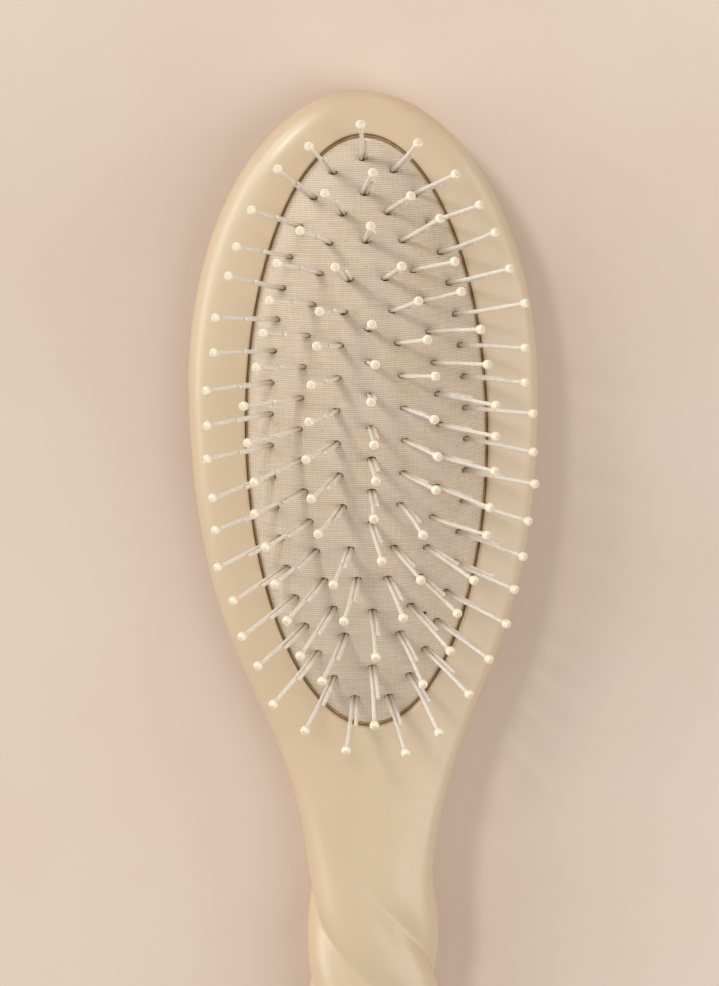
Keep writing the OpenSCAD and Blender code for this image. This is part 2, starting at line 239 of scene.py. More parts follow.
# The groove and disc on a ball: millimetres in from the rim, millimetres up and the shade
BALL_TOP = (
    (0.03, 0.005, 0.3),
    (0.06, -0.05, 1.0),
    (0.1, -0.05, 1.0),
    (0.14, 0.02, 0.5),
    (0.2, 0.05, 0.5),
)
DISC_MIDDLE = (0.3, 0.06, 0.5)

BODY_LOW_Y = cad_low.y
HEAD_TOP_Y = cad_high.y
LIP_BOTTOM_Z = RIM_Z - SKIRT_H
HANDLE_MID_Z = HANDLE_T / 2 - BACK_FLAT_DEPTH / 3
WIDEST_Y = CUSHION_Y + WIDEST_RISE
CUSHION_LOW_Y = CUSHION_Y - HALF_L
NECK_Y = CUSHION_LOW_Y - NECK_BELOW_CUSHION
HANDLE_L = NECK_Y - BODY_LOW_Y
SHOULDER_L = WIDEST_Y - NECK_Y
HEAD_TIP_L = HEAD_TOP_Y - WIDEST_Y
TWIST_Y = NECK_Y + TWIST_LEAD_IN
VALLEY_Y = NECK_Y + VALLEY_LEAD_IN
DOME_R = (HALF_W**2 + CROWN_H**2) / (2 * CROWN_H)
DOME_STRETCH = HALF_L / HALF_W
DOME_Z = RIM_Z + CROWN_H - DOME_R


# Meshes


def make_object(name, vertices, faces, smooth=True):
    mesh = bpy.data.meshes.new(name)
    mesh.from_pydata([tuple(v) for v in vertices], [], [tuple(f) for f in faces])
    mesh.update()
    obj = bpy.data.objects.new(name, mesh)
    bpy.context.scene.collection.objects.link(obj)
    if smooth:
        mesh.polygons.foreach_set("use_smooth", [True] * len(mesh.polygons))
    return obj


def apply_modifiers(obj):
    bpy.context.view_layer.update()
    graph = bpy.context.evaluated_depsgraph_get()
    mesh = bpy.data.meshes.new_from_object(obj.evaluated_get(graph))
    obj.modifiers.clear()
    obj.data = mesh
    return obj


def outward(obj):
    """Turns all faces outwards and merges double vertices."""
    bm = bmesh.new()
    bm.from_mesh(obj.data)
    bmesh.ops.remove_doubles(bm, verts=bm.verts, dist=SAME_PLACE)
    bmesh.ops.recalc_face_normals(bm, faces=bm.faces)
    bm.to_mesh(obj.data)
    bm.free()
    return obj


def sharpen(bm, angle):
    """Keeps edges that turn by more than an angle from being shaded smooth."""
    for edge in bm.edges:
        if edge.is_manifold and edge.calc_face_angle() > angle:
            edge.smooth = False


def skin(start, rings, n):
    """Faces between rings of n points each, numbered on from start."""
    faces = []
    for k in range(rings - 1):
        for i in range(n):
            j = (i + 1) % n
            a, b = start + k * n, start + (k + 1) * n
            faces.append((a + i, a + j, b + j, b + i))
    return faces


def loft(rings, closed_ends=True):
    """Vertices and faces of a skin over rings of equally many points."""
    n = len(rings[0])
    vertices = [p for ring in rings for p in ring]
    faces = skin(0, len(rings), n)
    if closed_ends:
        for k in (0, len(rings) - 1):
            centre = sum((Vector(p) for p in rings[k]), Vector()) / n
            vertices.append(centre)
            for i in range(n):
                faces.append((k * n + i, k * n + (i + 1) % n, len(vertices) - 1))
    return vertices, faces


# Body


def ease(t):
    t = np.clip(t, 0, 1)
    return t * t * (3 - 2 * t)


def mix(a, b, t):
    return a + (b - a) * t


def bezier(a, b, c, d, t):
    return (1 - t) ** 3 * a + 3 * (1 - t) ** 2 * t * b + 3 * (1 - t) * t**2 * c + t**3 * d


def strand_rise(s):
    return np.sqrt(s * s + VALLEY_ROUND_SHARE**2)


def strand_dip(a):
    """1 in the valley between two strands, rounded at its bottom, and 0 on a strand's crest."""
    rise = strand_rise(1) - strand_rise(np.sin(a * STRAND_N / 2))
    return (rise / (strand_rise(1) - strand_rise(0))) ** STRAND_POWER


def handle_half_w(y):
    s = (NECK_Y - y) / HANDLE_L
    rising = np.sin(np.pi * np.clip(s, 0, 0.5))
    falling = mix(1, END_FULLNESS_SHARE, ease((s - 0.5) / 0.5))
    return mix(NECK_W / 2, HANDLE_W / 2, np.where(s < 0.5, rising, falling))


def stations():
    """Outline of the body from the top end down: y, half width, share of the thickness."""
    a = np.pi / 2 * (1 - np.arange(1, TIP_STEPS + 1) / TIP_STEPS) ** TIP_CROWDING
    tip = (
        WIDEST_Y + HEAD_TIP_L * np.sin(a),
        HEAD_W / 2 * np.cos(a),
        np.maximum(0, 1 - np.sin(a) ** HEAD_END_POWER) ** (1 / HEAD_END_POWER),
    )
    t = np.arange(1, SHOULDER_STEPS + 1) / SHOULDER_STEPS
    shoulder = (
        bezier(
            WIDEST_Y,
            WIDEST_Y - SHOULDER_TOP_SHARE * SHOULDER_L,
            NECK_Y + SHOULDER_NECK_SHARE * SHOULDER_L,
            NECK_Y,
            t,
        ),
        bezier(HEAD_W / 2, HEAD_W / 2, NECK_W / 2, NECK_W / 2, t),
        np.ones(SHOULDER_STEPS),
    )
    y = NECK_Y - (HANDLE_L - HANDLE_END_L) * np.arange(1, HANDLE_STEPS + 1) / HANDLE_STEPS
    handle = (y, handle_half_w(y), np.ones(HANDLE_STEPS))
    a = np.pi / 2 * np.arange(1, TIP_STEPS) / TIP_STEPS
    close = np.cos(a) ** (2 / HANDLE_END_POWER)
    y = BODY_LOW_Y + HANDLE_END_L * (1 - np.sin(a) ** (2 / HANDLE_END_POWER))
    end = (y, handle_half_w(y) * close, close)
    return [np.concatenate(part) for part in zip(tip, shoulder, handle, end)]


def body_section(y, half_w, close):
    """Points round the body at y, as arrays of x and z."""
    to_handle = ease((CUSHION_LOW_Y - RIM_GAP - y) / HANDLE_BLEND_L)
    mid_z = mix(WAIST_H, HANDLE_MID_Z, to_handle)
    up = mix(HEAD_T - WAIST_H, HANDLE_T / 2, to_handle) * close
    down = mix(WAIST_H + BACK_FLAT_DEPTH, HANDLE_T / 2, to_handle) * close
    turned = 2 * np.pi / TWIST_LEAD * TWIST_EASE_L * np.log1p(np.exp((TWIST_Y - y) / TWIST_EASE_L))
    depth = VALLEY_DEPTH * ease((VALLEY_Y - y) / VALLEY_EASE_L)
    depth *= ease((y - BODY_LOW_Y) / HANDLE_END_L)
    strand_a = 2 * np.pi * np.arange(SECTION_POINTS) / SECTION_POINTS
    a = STRAND_PHASE + strand_a - turned
    top_power = mix(CREST_POWER, HANDLE_POWER, to_handle)
    low_power = mix(BACK_POWER, HANDLE_POWER, to_handle)
    power = np.where(np.sin(a) > 0, top_power, low_power)
    reach = (np.abs(np.cos(a)) ** power + np.abs(np.sin(a)) ** power) ** (-1 / power)
    reach *= 1 - depth * strand_dip(strand_a) / max(half_w, depth * 2)
    half_h = np.where(np.sin(a) > 0, up, down)
    return half_w * reach * np.cos(a), mid_z + half_h * reach * np.sin(a)


def crest_z(x, y, ys, half_ws, closes):
    """Height of the head's upper surface above a place."""
    half_w = np.interp(y, ys, half_ws)
    close = np.interp(y, ys, closes)
    inside = max(0.0, 1 - abs(x / half_w) ** CREST_POWER)
    return WAIST_H + (HEAD_T - WAIST_H) * close * inside ** (1 / CREST_POWER)


def oval_ring(offset, z):
    """An oval round the cushion, at a distance from its edge. z is a height or a function."""
    ring = []
    for i in range(OVAL_POINTS):
        a = 2 * math.pi * i / OVAL_POINTS
        x = (HALF_W + offset) * math.sin(a)
        y = CUSHION_Y + (HALF_L + offset) * math.cos(a)
        ring.append(Vector((x, y, z(x, y) if callable(z) else z)))
    return ring


def make_recess_cutter(ys, half_ws, closes):
    """The space that is cut from the body: chamber, ledge, lip groove and rounded edge."""

    def surface(x, y):
        return crest_z(x, y, ys, half_ws, closes)

    groove_top_z = LIP_BOTTOM_Z + LIP_H + LIP_CLEARANCE
    rings = [
        oval_ring(-LEDGE_W, BACK_T),
        oval_ring(-LEDGE_W, LIP_BOTTOM_Z),
        oval_ring(LIP_W + LIP_CLEARANCE, LIP_BOTTOM_Z),
        oval_ring(LIP_W + LIP_CLEARANCE, groove_top_z),
        oval_ring(RIM_GAP, groove_top_z),
    ]
    for degrees in RECESS_EDGE_DEGREES:
        a = math.radians(degrees)
        out = RIM_GAP + RECESS_EDGE_R * (1 - math.cos(a))
        up = RECESS_EDGE_R * (math.sin(a) - 1)
        rings.append(oval_ring(out, lambda x, y, up=up: surface(x, y) + up))
    flare = RECESS_EDGE_R * RECESS_FLARE_SHARE
    slope = math.tan(RECESS_FLARE_A)
    rings.append(oval_ring(out + flare, lambda x, y: surface(x, y) + up + flare * slope))
    rings.append(oval_ring(out + flare, HEAD_T + CROWN_H))
    return outward(make_object("recess_cutter", *loft(rings)))


def make_body():
    ys, half_ws, closes = stations()
    rings = []
    for y, half_w, close in zip(ys, half_ws, closes):
        x, z = body_section(y, half_w, close)
        rings.append([Vector((a, y, b)) for a, b in zip(x, z)])
    body = outward(make_object("body_shell", *loft(rings)))
    cutter = make_recess_cutter(ys[::-1], half_ws[::-1], closes[::-1])
    rest = make_object(
        "rest_cutter",
        [(x, y, z) for x in (-1, 1) for y in (-1, 1) for z in (-0.1, 0)],
        [(0, 1, 3, 2), (4, 6, 7, 5), (0, 4, 5, 1), (2, 3, 7, 6), (0, 2, 6, 4), (1, 5, 7, 3)],
        smooth=False,
    )
    outward(rest)
    for tool in (cutter, rest):
        cut = body.modifiers.new("cut", "BOOLEAN")
        cut.operation = "DIFFERENCE"
        cut.solver = "EXACT"
        cut.object = tool
    apply_modifiers(body)
    bpy.data.objects.remove(cutter)
    bpy.data.objects.remove(rest)
    bm = bmesh.new()
    bm.from_mesh(body.data)
    bmesh.ops.remove_doubles(bm, verts=bm.verts, dist=CUT_SAME_PLACE)
    bmesh.ops.dissolve_degenerate(bm, edges=bm.edges, dist=CUT_SLIVER)
    for face in bm.faces:
        face.smooth = True
    sharpen(bm, BODY_SHARP_A)
    bm.to_mesh(body.data)
    bm.free()
    return body


# Cushion


def dome_z(x, y):
    """Height of the cushion's surface, y from the cushion's middle."""
    long_r = DOME_R * DOME_STRETCH
    return DOME_Z + DOME_R * math.sqrt(max(0.0, 1 - (x / DOME_R) ** 2 - (y / long_r) ** 2))


def dome_normal(x, y):
    z = dome_z(x, y) - DOME_Z
    n = Vector((x / DOME_R**2, y / (DOME_R * DOME_STRETCH) ** 2, z / DOME_R**2))
    return n.normalized()


def pin_opening(pin, grow_w=1.0, grow_l=1.0):
    """The oval opening that hugs a pin's two legs and gapes behind them."""
    lean = Vector((pin["axis"].x, pin["axis"].y, 0))
    return {
        "at": pin["at"],
        "right": pin["right"],
        "half_w": HOLE_HALF_W * grow_w,
        "half_l": HOLE_HALF_L * grow_l,
        "shift": -lean.normalized() * HOLE_GAPE,
    }


def opening_axes(opening):
    """Unit steps along the surface across an opening: its long way and its short way."""
    normal = dome_normal(opening["at"].x, opening["at"].y)
    wide = (opening["right"] - normal * opening["right"].dot(normal)).normalized()
    return wide, normal.cross(wide)


def opening_ring(opening, grow, n):
    """Places round an opening, seen from above."""
    wide, narrow = opening_axes(opening)
    at, shift = opening["at"], opening["shift"]
    ring = []
    for i in range(n):
        a = 2 * math.pi * i / n
        step = wide * (math.cos(a) * opening["half_w"] * grow)
        step += narrow * (math.sin(a) * opening["half_l"] * grow)
        ring.append((at.x + shift.x + step.x, at.y + shift.y + step.y))
    return ring


def edge_distance(x, y, opening, axes):
    """About how far a place lies outside an opening's edge, below 0 inside it."""
    wide, narrow = axes
    middle_at = opening["at"] + opening["shift"].to_2d()
    step = Vector((x - middle_at.x, y - middle_at.y))
    u = step.dot(wide.to_2d()) / wide.to_2d().length_squared / opening["half_w"]
    v = step.dot(narrow.to_2d()) / narrow.to_2d().length_squared / opening["half_l"]
    return (math.hypot(u, v) - 1) * math.hypot(
        u * opening["half_w"], v * opening["half_l"]
    ) / max(math.hypot(u, v), TINY)


def dome_layout(openings, step, seed, edge_w, edge_l):
    """Triangles over the cushion's oval, drawn in by edge_w and edge_l, without the openings.

    Returns the places, seen from above, the triangles, and the closed loops of the edge and of
    each opening."""
    rng = random.Random(seed)
    places, loops = [], []

    def add_loop(points):
        start = len(places)
        places.extend(points)
        loops.append(list(range(start, len(places))))

    def inner_share(x, y):
        return math.hypot(x / (HALF_W - edge_w), y / (HALF_L - edge_l))

    edge = [2 * math.pi * i / EDGE_POINTS for i in range(EDGE_POINTS)]
    add_loop([((HALF_W - edge_w) * math.sin(a), (HALF_L - edge_l) * math.cos(a)) for a in edge])
    axes = [opening_axes(opening) for opening in openings]
    for opening in openings:
        add_loop(opening_ring(opening, 1, OPENING_POINTS))
    for opening in openings:
        for grow, n in OPENING_BANDS:
            for p in opening_ring(opening, grow, n):
                if inner_share(*p) < BAND_LIMIT:
                    places.append(p)
    rows = int(HALF_L / step) + 1
    columns = int(HALF_W / step) + 1
    for j in range(-rows, rows + 1):
        for i in range(-columns, columns + 1):
            x = (i + 0.5 * (j % 2)) * step + rng.uniform(-GRID_JITTER, GRID_JITTER) * step
            y = j * step * GRID_ROW_SHARE + rng.uniform(-GRID_JITTER, GRID_JITTER) * step
            if inner_share(x, y) > GRID_LIMIT:
                continue
            if any(
                edge_distance(x, y, o, a) < o["half_l"] * GRID_CLEARANCE
                for o, a in zip(openings, axes)
            ):
                continue
            places.append((x, y))
    edges = [(loop[i], loop[(i + 1) % len(loop)]) for loop in loops for i in range(len(loop))]
    found = delaunay_2d_cdt([Vector(p) for p in places], edges, [], 0, LAYOUT_TOLERANCE)
    flat, triangles, origin = found[0], found[2], found[3]
    new_index = {}
    for new, olds in enumerate(origin):
        for old in olds:
            new_index[old] = new
    kept = []
    for tri in triangles:
        x = sum(flat[i].x for i in tri) / 3
        y = sum(flat[i].y for i in tri) / 3
        if inner_share(x, y) > 1:
            continue
        if any(edge_distance(x, y, o, a) < 0 for o, a in zip(openings, axes)):
            continue
        kept.append(tuple(tri))
    loops = [[new_index[i] for i in loop] for loop in loops]
    return [(p.x, p.y) for p in flat], kept, loops


def make_dome_shell(name, layout, openings, inset, thickness):
    """A closed shell over the layout, drawn in a little round each opening: outer face, inner
    face, edge and walls of the openings."""
    flat, triangles, loops = layout
    axes = [opening_axes(opening) for opening in openings]
    outer, inner = [], []
    for x, y in flat:
        normal = dome_normal(x, y)
        base = Vector((x, y, dome_z(x, y))) - normal * inset
        near = min(edge_distance(x, y, o, a) for o, a in zip(openings, axes))
        pull = DIMPLE_DEPTH * math.exp(-((max(0, near) / DIMPLE_REACH) ** 2))
        outer.append(base - normal * pull)
        inner.append(base - normal * (pull + thickness))
    n = len(flat)
    vertices = outer + inner
    faces = [tuple(t) for t in triangles]
    faces += [tuple(i + n for i in reversed(t)) for t in triangles]
    for loop in loops:
        for i, a in enumerate(loop):
            b = loop[(i + 1) % len(loop)]
            faces.append((a, b, b + n, a + n))
    for v in vertices:
        v.y += CUSHION_Y
    shell = outward(make_object(name, vertices, faces))
    bm = bmesh.new()
    bm.from_mesh(shell.data)
    sharpen(bm, SHELL_SHARP_A)
    bm.to_mesh(shell.data)
    bm.free()
    return shell


def make_membrane_edge():
    """The membrane's skirt and locking lip, which stay in the body's groove."""
    rings = [
        oval_ring(-SKIRT_T, RIM_Z - SKIRT_DROP),
        oval_ring(-SKIRT_T, LIP_BOTTOM_Z),
        oval_ring(LIP_W, LIP_BOTTOM_Z),
        oval_ring(LIP_W, LIP_BOTTOM_Z + LIP_H),
        oval_ring(RIM_GAP - BEAD_CLEARANCE, LIP_BOTTOM_Z + LIP_H),
        oval_ring(RIM_GAP - BEAD_CLEARANCE, RIM_Z - BEAD_DROP),
        oval_ring(BEAD_RISE, RIM_Z + BEAD_RISE),
        oval_ring(-BEAD_IN, RIM_Z - SKIRT_DROP),
    ]
    vertices, faces = loft(rings + rings[:1], closed_ends=False)
    edge = outward(make_object("membrane_edge", vertices, faces))
    bevel = edge.modifiers.new("soft_edges", "BEVEL")
    bevel.width = SKIRT_BEVEL
    bevel.segments = 2
    bevel.angle_limit = SKIRT_BEVEL_A
    return apply_modifiers(edge)


# Pins


def islands(node):
    """The separate solids of a CAD node, each as an array of its points."""
    bm = bmesh.new()
    bm.from_mesh(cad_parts[node].data)
    bmesh.ops.remove_doubles(bm, verts=bm.verts, dist=SAME_PLACE)
    seen, found = set(), []
    for start in bm.verts:
        if start in seen:
            continue
        stack, group = [start], []
        seen.add(start)
        while stack:
            v = stack.pop()
            group.append(v.co.copy())
            for edge in v.link_edges:
                other = edge.other_vert(v)
                if other not in seen:
                    seen.add(other)
                    stack.append(other)
        found.append(np.array(group))
    bm.free()
    return found


def middle(points):
    return Vector((points.min(0) + points.max(0)) / 2)


def across(axis):
    """The step across the brush from a pin's long leg to its short one."""
    return Vector((0, 0, 1)).rotation_difference(axis) @ Vector((1, 0, 0))


def read_pins(group, rng):
    """Where each pin of a group is, read from its packed ball, filament and anchor."""
    balls = [middle(p) for p in islands(group + "_balls")]
    anchors = [middle(p) for p in islands(group + "_anchors")]
    pins = []
    for points in islands(group + "_filaments"):
        ball = min(balls, key=lambda b: np.linalg.norm(points - np.array(b), axis=1).min())
        anchor = min(anchors, key=lambda a: np.linalg.norm(points - np.array(a), axis=1).min())
        axis = (ball - anchor).normalized()
        for _ in range(AXIS_STEPS):
            axis = (ball + across(axis) * BALL_LEFT - anchor).normalized()
        foot = dome_crossing(anchor, axis)
        pins.append({"ball": ball, "foot": foot, "axis": axis})
    pins.sort(key=lambda p: (round(p["foot"].y, 4), round(p["foot"].x, 4)))
    for pin in pins:
        turn = Matrix.Rotation(rng.uniform(-FOLD_TURN, FOLD_TURN), 3, pin["axis"])
        pin["right"] = turn @ across(pin["axis"])
        pin["at"] = Vector((pin["foot"].x, pin["foot"].y - CUSHION_Y))
    return pins


def dome_crossing(start, axis):
    """Where a line from under the cushion comes out of its surface."""
    low, high = 0.0, CROSSING_L
    for _ in range(CROSSING_STEPS):
        middle_t = (low + high) / 2
        p = start + axis * middle_t
        if p.z < dome_z(p.x, p.y - CUSHION_Y):
            low = middle_t
        else:
            high = middle_t
    return start + axis * high


def tube(path, radii, sides, vertices, faces, values, marks):
    """Adds a tube with closed ends along a path to a mesh's lists."""
    start = len(vertices)
    side = None
    for k, p in enumerate(path):
        ahead = path[min(k + 1, len(path) - 1)] - path[max(k - 1, 0)]
        ahead.normalize()
        if side is None:
            side = ahead.orthogonal().normalized()
        side = (side - ahead * side.dot(ahead)).normalized()
        other = ahead.cross(side)
        for i in range(sides):
            a = 2 * math.pi * i / sides
            vertices.append(p + (side * math.cos(a) + other * math.sin(a)) * radii[k])
            values.append(marks[k])
    faces += skin(start, len(path), sides)
    last = start + (len(path) - 1) * sides
    faces.append(tuple(start + i for i in reversed(range(sides))))
    faces.append(tuple(last + i for i in range(sides)))


def long_leg(pin, bend, steps):
    """Points of the leg that carries the ball, from the fold up."""
    root = pin["foot"] - pin["right"] * FOLD_R
    reach = pin["ball"] - root - pin["axis"] * BALL_ALONG
    points = []
    for k in range(steps + 1):
        s = (FOLD_DEPTH + BALL_ALONG) * k / steps - FOLD_DEPTH
        t = max(0.0, s / BALL_ALONG)
        straight = root + pin["axis"] * s
        points.append(straight + reach * t**LEAN_POWER + bend * t * t * (BEND_TURN - t))
    return points


def short_leg(pin, beside, length, splay):
    """Points of the leg without a ball, which runs beside the long one and leans a little away."""
    points = []
    for p in beside:
        s = (p - pin["foot"]).dot(pin["axis"])
        if s > length:
            break
        points.append(p + pin["right"] * (2 * FOLD_R + max(0.0, s) * math.tan(splay)))
    return points


def ball_profile(radius, filament_r):
    """Half outline of a ball tip: a collar on the filament, the ball, and on its top a flat disc
    in a shallow groove. The third value is 1 on the disc and in the groove."""
    profile = [(filament_r * width, radius * height, 0.0) for width, height in COLLAR]
    for k in range(BALL_STEPS + 1):
        a = BALL_LOW_A + (BALL_HIGH_A - BALL_LOW_A) * k / BALL_STEPS
        profile.append((radius * math.cos(a), radius * math.sin(a), 0.0))
    rim_r = radius * math.cos(BALL_HIGH_A)
    top_z = radius * math.sin(BALL_HIGH_A)
    for inward, rise, shade in BALL_TOP:
        profile.append((rim_r - inward * MM, top_z + rise * MM, shade))
    width, rise, shade = DISC_MIDDLE
    profile.append((filament_r * width, top_z + rise * MM, shade))
    return profile


def add_ball(centre, direction, vertices, faces, values):
    """Adds a ball tip to a mesh's lists."""
    side = direction.orthogonal().normalized()
    other = direction.cross(side)
    start = len(vertices)
    profile = ball_profile(BALL_D / 2, FILAMENT_D / 2)
    for r, z, shade in profile:
        for i in range(BALL_SIDES):
            a = 2 * math.pi * i / BALL_SIDES
            spot = (side * math.cos(a) + other * math.sin(a)) * r
            vertices.append(centre + direction * z + spot)
            values.append(shade)
    faces += skin(start, len(profile), BALL_SIDES)
    last = start + (len(profile) - 1) * BALL_SIDES
    faces.append(tuple(last + i for i in range(BALL_SIDES)))
    faces.append(tuple(start + i for i in reversed(range(BALL_SIDES))))


def with_marks(name, vertices, faces, values):
    """An object whose points carry a value that its material reads."""
    obj = make_object(name, vertices, faces)
    mark = obj.data.attributes.new("mark", "FLOAT", "POINT")
    mark.data.foreach_set("value", values)
    return obj


def make_pin_group(group, pins, rng):
    """The nylon and the balls of one group of pins, as two objects."""
    nylon = ([], [], [])
    balls = ([], [], [])
    r = FILAMENT_D / 2
    for pin in pins:
        sway = Matrix.Rotation(rng.uniform(0, 2 * math.pi), 3, pin["axis"]) @ pin["right"]
        tall = long_leg(pin, sway * rng.gauss(0, BEND) * MM, LEG_STEPS)
        length = SHORT_L * rng.uniform(*SHORT_SHARES)
        low = short_leg(pin, tall, length, math.radians(abs(rng.gauss(0, SHORT_SPLAY))))
        end = (low[-1] - low[-2]).normalized()
        path = tall[::-1] + fold_arc(pin, tall[0], low[0]) + low + [low[-1] + end * CUT_EDGE]
        radii = [r] * (len(path) - 1) + [r - CUT_EDGE]
        depth = [(p - pin["foot"]).dot(pin["axis"]) for p in path]
        # Painted shade: each leg's colour darkens towards its hole, by this mark
        marks = [max(0.0, 1 - max(0.0, d) / ROOT_SHADE_L) for d in depth]
        marks[-2:] = [END_SHADE, END_SHADE]
        tube(path, radii, LEG_SIDES, *nylon, marks)
        direction = (tall[-1] - tall[-2]).normalized()
        add_ball(tall[-1], direction, *balls)
    return with_marks(group + "_nylon", *nylon), with_marks(group + "_tips", *balls)


def fold_arc(pin, a, b):
    """The fold under the membrane, from the foot of one leg round to the foot of the other."""
    centre = (a + b) / 2
    arm = a - centre
    down = -pin["axis"] * arm.length
    arc = []
    for degrees in FOLD_DEGREES:
        t = math.radians(degrees)
        arc.append(centre + arm * math.cos(t) + down * math.sin(t))
    return arc


# Materials


class Nodes:
    """Short forms for building a material's node tree."""

    def __init__(self, name):
        self.material = bpy.data.materials.new(name)
        self.material.use_nodes = True
        self.tree = self.material.node_tree
        self.tree.nodes.clear()
        self.shader = self.add("ShaderNodeBsdfPrincipled")
        output = self.add("ShaderNodeOutputMaterial")
        self.tree.links.new(self.shader.outputs[0], output.inputs["Surface"])
        self.place = self.add("ShaderNodeTexCoord").outputs["Object"]

    def add(self, kind, **settings):
        node = self.tree.nodes.new(kind)
        for key, value in settings.items():
            setattr(node, key, value)
        return node

    def link(self, value, socket):
        """Links an output to a socket, or sets the socket to a plain value."""
        if isinstance(value, bpy.types.NodeSocket):
            self.tree.links.new(value, socket)
        else:
            socket.default_value = value

    def math(self, operation, *values):
        node = self.add("ShaderNodeMath", operation=operation)
        for value, socket in zip(values, node.inputs):
            self.link(value, socket)
        return node.outputs[0]

    def sum_of(self, a, share_a, b, share_b):
        """The two values, each multiplied by its share, added up."""
        return self.math(
            "ADD", self.math("MULTIPLY", a, share_a), self.math("MULTIPLY", b, share_b)
        )

    def stretched(self, scale):
        node = self.add("ShaderNodeMapping")
        self.link(self.place, node.inputs["Vector"])
        node.inputs["Scale"].default_value = scale
        return node.outputs[0]

    def noise(self, size, detail=2.0, roughness=0.5, stretch=(1, 1, 1)):
        """Noise whose features are about size metres large, stretched along axes."""
        scale = tuple(1 / (size * s) for s in stretch)
        node = self.add("ShaderNodeTexNoise")
        self.link(self.stretched(scale), node.inputs["Vector"])
        node.inputs["Scale"].default_value = 1
        node.inputs["Detail"].default_value = detail
        node.inputs["Roughness"].default_value = roughness
        return node.outputs["Fac"]

    def spread(self, value, low, high, to_low=0.0, to_high=1.0):
        """Maps a value smoothly from low and high to to_low and to_high."""
        node = self.add("ShaderNodeMapRange", interpolation_type="SMOOTHSTEP")
        self.link(value, node.inputs["Value"])
        for socket, number in zip(list(node.inputs)[1:5], (low, high, to_low, to_high)):
            socket.default_value = number
        return node.outputs["Result"]

    def blend(self, factor, a, b):
        node = self.add("ShaderNodeMix", data_type="RGBA")
        self.link(factor, node.inputs["Factor"])
        for value, socket in ((a, node.inputs[6]), (b, node.inputs[7])):
            self.link((*value, 1) if isinstance(value, tuple) else value, socket)
        return node.outputs[2]

    def bump(self, height, distance, strength=1.0, normal=None):
        node = self.add("ShaderNodeBump")
        node.inputs["Strength"].default_value = strength
        node.inputs["Distance"].default_value = distance
        self.link(height, node.inputs["Height"])
        if normal is not None:
            self.link(normal, node.inputs["Normal"])
        return node.outputs["Normal"]

    def mark(self):
        return self.add("ShaderNodeAttribute", attribute_name="mark").outputs["Fac"]

    def finish(self, **inputs):
        for name, value in inputs.items():
            self.link(value, self.shader.inputs[name.replace("_", " ")])
        return self.material


def srgb(r, g, b):
    """A colour as the photograph's numbers from 0 to 255, turned into linear light."""
    linear = []
    for c in (r, g, b):
        c /= 255
        linear.append(c / 12.92 if c <= 0.04045 else ((c + 0.055) / 1.055) ** 2.4)
    return tuple(linear)


# The usual range of noise that is spread from nothing to full
SOFT = (0.3, 0.7)

BODY_CREAM, BODY_CREAM_PALE = srgb(207, 184, 152), srgb(211, 189, 158)
BODY_SPECK = srgb(200, 175, 142)
BODY_CLOUD, BODY_FINE, BODY_GLOSS_PATCH = 34 * MM, 0.9 * MM, 9 * MM
BODY_GRAIN, BODY_GRAIN_DEPTH = 0.32 * MM, 0.004 * MM
BODY_WAVE, BODY_WAVE_DEPTH = 16 * MM, 0.08 * MM
BODY_ROUGHNESS = (0.32, 0.37)

# Shares of the two thread directions in the weave's height and in its tone
WEFT_HEIGHT, WARP_HEIGHT, OVER_HEIGHT = 0.62, 0.38, 0.12
WEFT_TONE, WARP_TONE = 0.65, 0.35
THREAD, THREAD_PALE = srgb(214, 195, 171), srgb(226, 209, 187)
# The valley colour is painted shade in the weave's hollows; the cloud and slub colours are the
# cloth's own
CLOTH_CLOUD, CLOTH_VALLEY_SHADE, CLOTH_SLUB = srgb(219, 204, 189), srgb(158, 136, 110), srgb(120, 100, 76)
CLOUD_SIZE, SLUB_SIZE = 9 * MM, 0.42 * MM
THREAD_RUN = 9
WEAVE_DEPTH = 0.05 * MM

RUBBER_DARK, RUBBER_PALE = srgb(148, 123, 78), srgb(170, 145, 99)
RUBBER_PATCH, RUBBER_GLOSS_PATCH = 1.6 * MM, 0.8 * MM
RUBBER_GRAIN, RUBBER_GRAIN_DEPTH = 0.25 * MM, 0.01 * MM

NYLON_MILK, NYLON_MILK_PALE = srgb(240, 229, 215), srgb(249, 241, 231)
# The root colour is painted shade near the hole, not the nylon's own colour
NYLON_ROOT_SHADE = srgb(172, 154, 128)
NYLON_DRAW, NYLON_DRAW_DEPTH = 0.6 * MM, 0.01 * MM

BALL_CREAM, BALL_CREAM_PALE = srgb(244, 230, 204), srgb(250, 239, 217)
BALL_DISC = srgb(206, 188, 163)
BALL_PATCH = 0.7 * MM
BALL_GRAIN, BALL_GRAIN_DEPTH = 0.2 * MM, 0.006 * MM

STEEL_DARK, STEEL_PALE = srgb(176, 176, 176), srgb(205, 205, 205)
STEEL_STREAK, STEEL_STREAK_DEPTH = 0.06 * MM, 0.004 * MM

FLOOR_DARK, FLOOR_PALE = srgb(224, 204, 187), srgb(228, 209, 193)
FLOOR_CLOUD = 60 * MM
FLOOR_GRAIN, FLOOR_GRAIN_DEPTH = 1.4 * MM, 0.03 * MM


def body_material():
    m = Nodes("satin_cream_plastic")
    tint = m.spread(m.noise(BODY_CLOUD, detail=3), 0.35, 0.65)
    fine = m.spread(m.noise(BODY_FINE, detail=3, roughness=0.6), *SOFT)
    colour = m.blend(tint, BODY_CREAM, BODY_CREAM_PALE)
    colour = m.blend(m.math("MULTIPLY", fine, 0.16), colour, BODY_SPECK)
    rough = m.spread(m.noise(BODY_GLOSS_PATCH, detail=2), *SOFT, *BODY_ROUGHNESS)
    grain = m.bump(m.noise(BODY_GRAIN, detail=2), BODY_GRAIN_DEPTH, strength=0.5)
    waves = m.bump(m.noise(BODY_WAVE, detail=1), BODY_WAVE_DEPTH, strength=0.4, normal=grain)
    return m.finish(
        Base_Color=colour,
        Roughness=rough,
        Normal=waves,
        Subsurface_Weight=0.12,
        Subsurface_Radius=Vector((1.0, 0.62, 0.36)) * MM,
        Subsurface_Scale=1.0,
        Specular_IOR_Level=0.75,
    )


